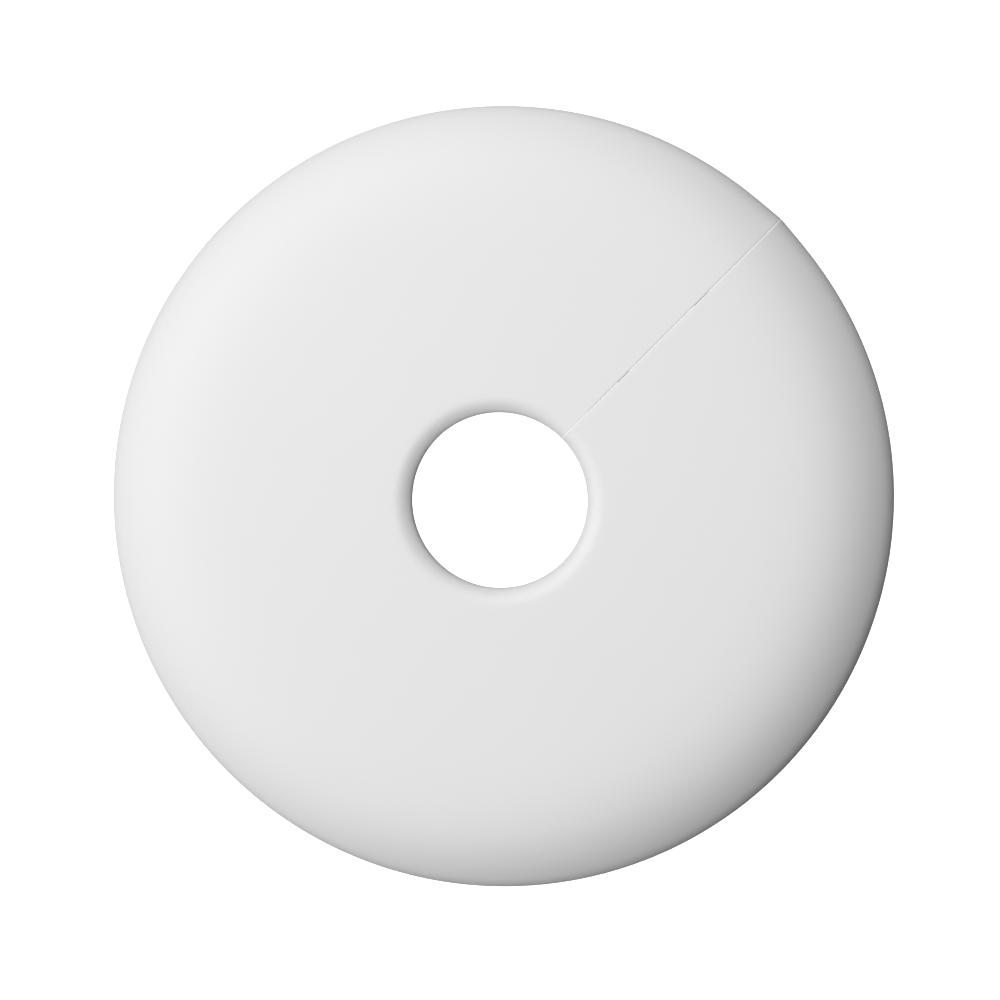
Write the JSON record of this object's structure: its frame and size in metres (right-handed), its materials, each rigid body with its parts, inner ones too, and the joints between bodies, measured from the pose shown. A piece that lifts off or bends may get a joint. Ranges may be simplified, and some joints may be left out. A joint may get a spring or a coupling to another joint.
{
  "type": "split pipe escutcheon",
  "caption": "White domed ring in two hinged halves that closes round a sprinkler pipe and covers the hole where it leaves the ceiling.",
  "frame": {"origin": "centre of the bore in the rear plane that meets the ceiling", "axes": "+Z out of the bore on the domed face, +X towards the opening seam, the hinge at -X, the swinging half at -Y"},
  "size_m": [0.099, 0.099, 0.0155],
  "materials": {
    "white_plastic": "satin moulded ABS, white",
    "hinge_plastic": "extruded polypropylene, natural white",
    "latch_plastic": "moulded acetal, off-white",
    "steel": "zinc-plated, bright",
    "spring_steel": "rolled spring strip",
    "foam": "closed-cell polyethylene foam, grey",
    "liner_paper": "waxed release paper"
  },
  "bodies": {
    "fixed_half": {"fixed_half_shell": "white_plastic", "hinge_strip": "hinge_plastic", "latch_pivot_screw": "steel", "latch_spring": "spring_steel", "locating_dowels": "steel", "fixed_foam_ring": "foam", "fixed_release_liner": "liner_paper"},
    "swing_half": {"swing_half_shell": "white_plastic", "keeper_pin": "steel", "swing_foam_ring": "foam", "swing_release_liner": "liner_paper"},
    "latch": {"latch_pawl": "latch_plastic"}
  },
  "joints": [
    {"name": "half_swing", "type": "hinge", "parent": "fixed_half", "child": "swing_half", "pos_m": [-0.0495, 0, 0.00275], "axis": [0, 0, -1], "range_deg": [0, 150], "deforming": ["hinge_strip"]},
    {"name": "pawl_turn", "type": "hinge", "parent": "fixed_half", "child": "latch", "pos_m": [0.033, 0.009, 0.0059], "axis": [0, 0, 1], "range_deg": [0, 14], "stiffness_Nm_per_rad": 0.02, "deforming": ["latch_spring"]}
  ]
}
